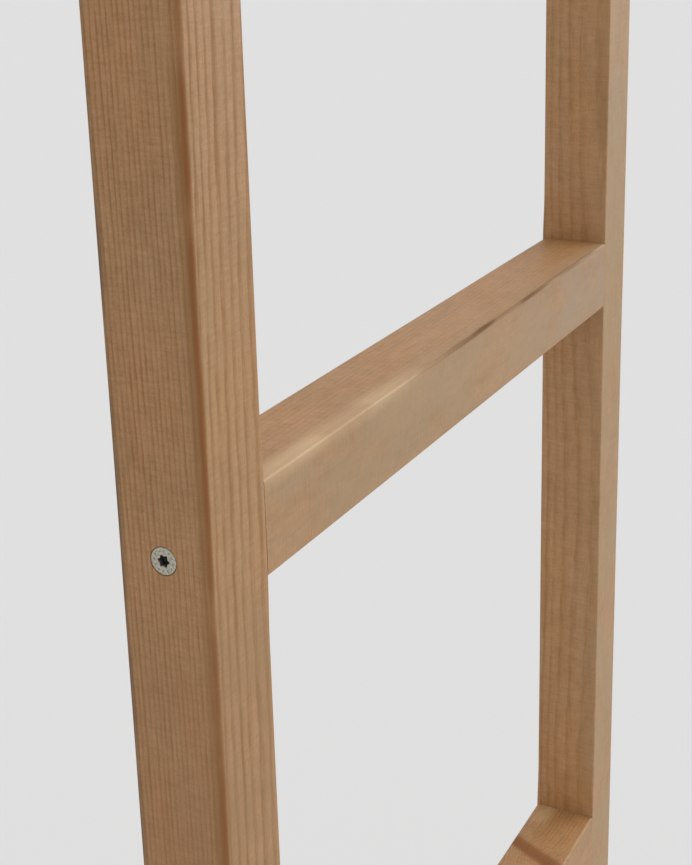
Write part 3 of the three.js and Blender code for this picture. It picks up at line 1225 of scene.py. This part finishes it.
def rubber_material(settings):
    """Matt black rubber with a fine moulded texture and a little dust."""
    material, tree, shader = new_material("foot_rubber")
    grit = speckle(tree, 2600.0, 3.0, 0.6)
    dust = speckle(tree, 260.0, 4.0, 0.65)
    dusty = (0.12, 0.115, 0.105, 1.0)
    tone = mixed(tree, ramp(tree, dust, 0.50, 0.80, 0.0, 0.35), shown(settings.rubber), dusty)
    rough = ramp(tree, dust, 0.3, 0.7, 0.62, 0.85)
    feed(tree, shader, {"Base Color": tone, "Roughness": rough})
    bump(tree, shader, grit, 0.08 * MM)
    return material


def felt_material(settings):
    """Pressed wool felt: matted fibres in every direction, and a soft sheen."""
    material, tree, shader = new_material("wall_felt")
    matted = speckle(tree, 1400.0, 5.0, 0.75)
    strand = speckle(tree, (700.0, 700.0, 3600.0), 3.0, 0.7)
    weave = maths(tree, "ADD", matted, strand)
    dark = shown(settings.felt, 0.55)
    values = {
        "Base Color": mixed(tree, ramp(tree, weave, 0.75, 1.25), dark, shown(settings.felt, 1.35)),
        "Roughness": 0.95,
        "Sheen Weight": 0.4,
        "Sheen Roughness": 0.6,
    }
    feed(tree, shader, values)
    bump(tree, shader, weave, 0.35 * MM)
    return material


FOOT_EDGE = 0.5 * MM
FELT_EDGE = 1.1 * MM
GROOVE_DEPTH = 0.35 * MM
# A groove's half-widths, at its mouth and at its bottom, as shares of the pad's thickness.
GROOVE_MOUTH = 0.05
GROOVE_FLOOR = 0.03


def foot_grooves(thickness):
    """Three grooves round a foot pad's edge, as (height, inset)."""
    floor = (-GROOVE_FLOOR, GROOVE_DEPTH), (GROOVE_FLOOR, GROOVE_DEPTH)
    groove = ((-GROOVE_MOUTH, 0.0), *floor, (GROOVE_MOUTH, 0.0))
    middles = (0.32, 0.50, 0.68)
    return [(thickness * (middle + step), inset) for middle in middles for step, inset in groove]


class OBJECT_OT_ladder_foot_pads(bpy.types.Operator):
    """Makes the ribbed rubber pad under each upright"""

    bl_idname = "object.ladder_foot_pads"
    bl_label = "Foot pads"

    def execute(self, context):
        settings = context.scene.ladder_pads
        rubber = rubber_material(settings)
        for side in SIDES:
            centre, size = span(f"foot_pad_{side}")
            layers = rounded_layers(size.z, FOOT_EDGE)
            middle = len(layers) // 2
            layers[middle:middle] = foot_grooves(size.z)
            piece = slab(f"foot_pad_{side}_rubber", size.x / 2, size.y / 2, settings.corner, layers)
            piece.data.transform(Matrix.Translation(centre - Vector((0, 0, size.z / 2))))
            piece.data.materials.append(rubber)
            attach(piece, "root")
            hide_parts(f"foot_pad_{side}")
        return {"FINISHED"}


class OBJECT_OT_ladder_wall_pads(bpy.types.Operator):
    """Makes the felt pad on the back of each upright"""

    bl_idname = "object.ladder_wall_pads"
    bl_label = "Wall pads"

    def execute(self, context):
        settings = context.scene.ladder_pads
        felt = felt_material(settings)
        for side in SIDES:
            centre, size = span(f"wall_pad_{side}")
            layers = rounded_layers(size.y, FELT_EDGE)
            piece = slab(f"wall_pad_{side}_felt", size.x / 2, size.z / 2, settings.corner, layers)
            front = Vector((centre.x, centre.y - size.y / 2, centre.z))
            piece.data.transform(Matrix.Translation(front) @ Matrix.Rotation(-math.pi / 2, 4, "X"))
            piece.data.materials.append(felt)
            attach(piece, "root")
            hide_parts(f"wall_pad_{side}")
        return {"FINISHED"}


# Stage


class OBJECT_OT_ladder_stage(bpy.types.Operator):
    """Lays the floor and sets the lights and the camera"""

    bl_idname = "object.ladder_stage"
    bl_label = "Stage"

    def execute(self, context):
        settings = context.scene.ladder_stage
        scene = context.scene
        scene.view_settings.view_transform = "Standard"

        mesh = bmesh.new()
        bmesh.ops.create_grid(mesh, x_segments=1, y_segments=1, size=settings.floor_size / 2)
        floor = finished("floor", mesh)
        material, tree, shader = new_material("studio_floor")
        matt = {"Roughness": 1.0, "Specular IOR Level": 0.0}
        feed(tree, shader, {"Base Color": shown(settings.floor_colour), **matt})
        floor.data.materials.append(material)

        world = bpy.data.worlds.new("studio")
        world.use_nodes = True
        background = world.node_tree.nodes["Background"]
        values = {"Color": (1.0, 1.0, 1.0, 1.0), "Strength": settings.sky}
        feed(world.node_tree, background, values)
        scene.world = world

        for name, strength, tint, way in (
            ("window", settings.sun, (1.0, 1.0, 1.0), (-0.35, 0.75, -1.0)),
            ("side_window", settings.side, settings.daylight, (-0.86, 0.42, -0.10)),
        ):
            light = bpy.data.lights.new(name, "SUN")
            light.energy = strength
            light.color = tint
            light.angle = math.radians(settings.softness)
            window = bpy.data.objects.new(name, light)
            window.rotation_euler = Vector(way).to_track_quat("-Z", "Y").to_euler()
            scene.collection.objects.link(window)

        camera = bpy.data.cameras.new("camera")
        camera.lens = settings.lens
        camera.sensor_width = 36.0
        camera.shift_x, camera.shift_y = settings.shift
        camera.clip_start = 0.01
        camera.clip_end = 500.0
        eye = bpy.data.objects.new("camera", camera)
        eye.location = settings.camera_place
        eye.rotation_euler = settings.camera_turn
        scene.collection.objects.link(eye)
        scene.camera = eye
        return {"FINISHED"}


class VIEW3D_PT_ladder(bpy.types.Panel):
    """The sidebar's list of the ladder's pieces"""

    bl_label = "Ladder rack"
    bl_idname = "VIEW3D_PT_ladder"
    bl_space_type = "VIEW_3D"
    bl_region_type = "UI"
    bl_category = "Ladder"

    def draw(self, context):
        for operator in OPERATORS:
            self.layout.operator(operator.bl_idname, text=operator.bl_label)


SETTINGS = {
    "ladder_timber": LadderTimberSettings,
    "ladder_screws": LadderScrewSettings,
    "ladder_dowels": LadderDowelSettings,
    "ladder_pads": LadderPadSettings,
    "ladder_stage": LadderStageSettings,
}
OPERATORS = (
    OBJECT_OT_ladder_stage,
    OBJECT_OT_ladder_uprights,
    OBJECT_OT_ladder_rungs,
    OBJECT_OT_ladder_screws,
    OBJECT_OT_ladder_dowels,
    OBJECT_OT_ladder_foot_pads,
    OBJECT_OT_ladder_wall_pads,
)


def register():
    for made in (*SETTINGS.values(), *OPERATORS, VIEW3D_PT_ladder):
        bpy.utils.register_class(made)
    for name, made in SETTINGS.items():
        setattr(bpy.types.Scene, name, PointerProperty(type=made))


def unregister():
    for name in SETTINGS:
        delattr(bpy.types.Scene, name)
    for made in (VIEW3D_PT_ladder, *reversed(OPERATORS), *SETTINGS.values()):
        bpy.utils.unregister_class(made)


def main():
    register()
    for operator in OPERATORS:
        group, name = operator.bl_idname.split(".")
        getattr(getattr(bpy.ops, group), name)()


if __name__ == "__main__":
    main()
